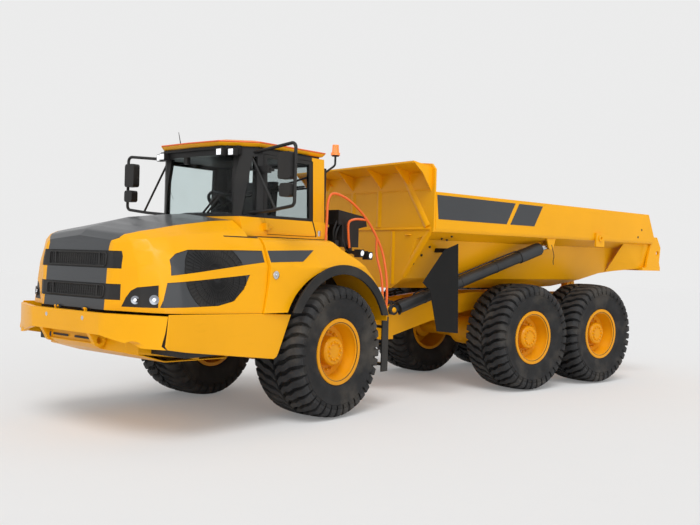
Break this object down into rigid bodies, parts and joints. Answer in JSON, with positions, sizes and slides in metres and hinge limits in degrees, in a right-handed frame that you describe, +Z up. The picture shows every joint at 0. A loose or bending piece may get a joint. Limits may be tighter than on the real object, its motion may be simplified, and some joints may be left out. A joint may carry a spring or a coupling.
{
  "type": "articulated dump truck",
  "caption": "Six-wheel articulated hauler with a tipping body, hinged frame, tilting hood, hinged cab door, turning wheels and linked hoist and steering cylinders.",
  "frame": {"origin": "centre of the bounding box's bottom, on the ground, as the truck stands articulated", "axes": "+X forward along the front unit, +Y to the truck's left, +Z up"},
  "size_m": [10.451, 4.3104, 3.4],
  "materials": {
    "yellow_paint": "satin",
    "frame_paint": "satin",
    "rim_paint": "satin",
    "grey_paint": "satin",
    "black_paint": "satin",
    "cylinder_paint": "satin",
    "orange_paint": "satin",
    "rod_chrome": "polished",
    "tyre": "matt",
    "rubber": "matt",
    "black_plastic": "matt",
    "cab_trim": "matt",
    "beacon_lens": "gloss",
    "glass": "gloss"
  },
  "bodies": {
    "front_unit": {"beacon": "beacon_lens", "body_mounts": "black_paint", "bumper": "yellow_paint", "cab_frame": "black_paint", "cab_glass": "glass", "cab_interior": "cab_trim", "cab_roof": "yellow_paint", "cab_shell": "yellow_paint", "deck_gear": "black_paint", "engine_block": "black_paint", "fender_lips": "rubber", "fenders": "yellow_paint", "front_axle": "frame_paint", "front_frame": "frame_paint", "handrails": "orange_paint", "mirrors": "black_plastic", "roof_trim": "orange_paint", "side_skirts": "yellow_paint", "side_tanks": "black_paint", "skid_pan": "yellow_paint", "steps": "black_paint", "work_lamps": "black_plastic"},
    "hood": {"hood_shell": "yellow_paint", "hood_top": "grey_paint", "grilles": "black_plastic", "headlamps": "black_plastic", "hood_vents": "grey_paint"},
    "door": {"cab_door": "yellow_paint", "door_frame": "black_paint", "door_glass": "glass"},
    "hitch": {"hitch_yoke": "frame_paint"},
    "rear_unit": {"rear_frame": "frame_paint", "bogie_beams": "frame_paint", "bogie_axles": "frame_paint", "drive_shafts": "black_paint"},
    "dump_body": {"dump_tub": "yellow_paint", "headboard": "yellow_paint", "tail_brackets": "yellow_paint", "wheel_shields": "black_plastic"},
    "wheel_front_left": {"rim_front_left": "rim_paint", "tyre_front_left": "tyre"},
    "wheel_front_right": {"rim_front_right": "rim_paint", "tyre_front_right": "tyre"},
    "wheel_middle_left": {"rim_middle_left": "rim_paint", "tyre_middle_left": "tyre"},
    "wheel_middle_right": {"rim_middle_right": "rim_paint", "tyre_middle_right": "tyre"},
    "wheel_rear_left": {"rim_rear_left": "rim_paint", "tyre_rear_left": "tyre"},
    "wheel_rear_right": {"rim_rear_right": "rim_paint", "tyre_rear_right": "tyre"},
    "hoist_barrel_left": {"hoist_barrel_left": "cylinder_paint"},
    "hoist_rod_left": {"hoist_rod_left": "rod_chrome"},
    "steer_barrel_left": {"steer_barrel_left": "cylinder_paint"},
    "steer_rod_left": {"steer_rod_left": "rod_chrome"},
    "hoist_barrel_right": {"hoist_barrel_right": "cylinder_paint"},
    "hoist_rod_right": {"hoist_rod_right": "rod_chrome"},
    "steer_barrel_right": {"steer_barrel_right": "cylinder_paint"},
    "steer_rod_right": {"steer_rod_right": "rod_chrome"}
  },
  "joints": [
    {"name": "steer", "type": "hinge", "parent": "front_unit", "child": "hitch", "pos_m": [1.2515, -0.63618, 0.93], "axis": [0, 0, 1], "range_deg": [-32, 58]},
    {"name": "frame_roll", "type": "hinge", "parent": "hitch", "child": "rear_unit", "pos_m": [0.67662, -0.50346, 0.93], "axis": [0.9744, -0.225, 0], "range_deg": [-15, 15]},
    {"name": "tip", "type": "hinge", "parent": "rear_unit", "child": "dump_body", "pos_m": [-3.75676, 0.52007, 1.56], "axis": [-0.225, -0.9744, 0], "range_deg": [0, 70]},
    {"name": "spin_front_left", "type": "hinge", "parent": "front_unit", "child": "wheel_front_left", "pos_m": [2.4615, 0.47182, 0.795], "axis": [0, 1, 0], "continuous": true},
    {"name": "spin_front_right", "type": "hinge", "parent": "front_unit", "child": "wheel_front_right", "pos_m": [2.4615, -1.74418, 0.795], "axis": [0, 1, 0], "continuous": true},
    {"name": "spin_middle_left", "type": "hinge", "parent": "rear_unit", "child": "wheel_middle_left", "pos_m": [-1.38826, 1.1104, 0.795], "axis": [0.225, 0.9744, 0], "continuous": true},
    {"name": "spin_middle_right", "type": "hinge", "parent": "rear_unit", "child": "wheel_middle_right", "pos_m": [-1.88675, -1.0488, 0.795], "axis": [0.225, 0.9744, 0], "continuous": true},
    {"name": "spin_rear_left", "type": "hinge", "parent": "rear_unit", "child": "wheel_rear_left", "pos_m": [-3.01546, 1.48607, 0.795], "axis": [0.225, 0.9744, 0], "continuous": true},
    {"name": "spin_rear_right", "type": "hinge", "parent": "rear_unit", "child": "wheel_rear_right", "pos_m": [-3.51395, -0.67313, 0.795], "axis": [0.225, 0.9744, 0], "continuous": true},
    {"name": "hoist_swing_left", "type": "hinge", "parent": "rear_unit", "child": "hoist_barrel_left", "pos_m": [0.70593, 0.2903, 1.207], "axis": [0.5226, 0.7008, 0.4855], "range_deg": [0, 8.23]},
    {"name": "hoist_stroke_left", "type": "slide", "parent": "hoist_barrel_left", "child": "hoist_rod_left", "axis": [-0.8511, 0.3959, 0.3447], "range_m": [0, 2.11805]},
    {"name": "hoist_swing_right", "type": "hinge", "parent": "rear_unit", "child": "hoist_barrel_right", "pos_m": [0.355, -1.22972, 1.207], "axis": [-0.1625, 0.859, -0.4855], "range_deg": [0, 8.23]},
    {"name": "hoist_stroke_right", "type": "slide", "parent": "hoist_barrel_right", "child": "hoist_rod_right", "axis": [-0.9385, 0.0173, 0.3447], "range_m": [0, 2.11805]},
    {"name": "steer_swing_left", "type": "hinge", "parent": "front_unit", "child": "steer_barrel_left", "pos_m": [2.0015, -0.23618, 0.93], "axis": [0, 0, 1], "range_deg": [-7.92, 14.35]},
    {"name": "steer_stroke_left", "type": "slide", "parent": "steer_barrel_left", "child": "steer_rod_left", "axis": [-0.999, -0.0439, 0], "range_m": [-0.17082, 0.30953]},
    {"name": "steer_swing_right", "type": "hinge", "parent": "front_unit", "child": "steer_barrel_right", "pos_m": [2.0015, -1.03618, 0.93], "axis": [0, 0, 1], "range_deg": [-7.16, 12.96]},
    {"name": "steer_stroke_right", "type": "slide", "parent": "steer_barrel_right", "child": "steer_rod_right", "axis": [-0.9879, 0.1553, 0], "range_m": [-0.33577, 0.1853]},
    {"name": "hood_tilt", "type": "hinge", "parent": "front_unit", "child": "hood", "pos_m": [5.1565, -0.63618, 1.325], "axis": [0, 1, 0], "range_deg": [0, 75]},
    {"name": "door_swing", "type": "hinge", "parent": "front_unit", "child": "door", "pos_m": [3.2585, 0.34882, 2.6], "axis": [0, 0, -1], "range_deg": [0, 75]}
  ],
  "couplings": [
    {"joint": "hoist_swing_left", "follows": "tip", "ratio": 0.11751},
    {"joint": "hoist_stroke_left", "follows": "tip", "m_per_rad": 1.7335},
    {"joint": "hoist_swing_right", "follows": "tip", "ratio": 0.11751},
    {"joint": "hoist_stroke_right", "follows": "tip", "m_per_rad": 1.7335},
    {"joint": "steer_swing_left", "follows": "steer", "ratio": 0.2472},
    {"joint": "steer_stroke_left", "follows": "steer", "m_per_rad": 0.30567},
    {"joint": "steer_swing_right", "follows": "steer", "ratio": 0.22336},
    {"joint": "steer_stroke_right", "follows": "steer", "m_per_rad": -0.33159}
  ]
}
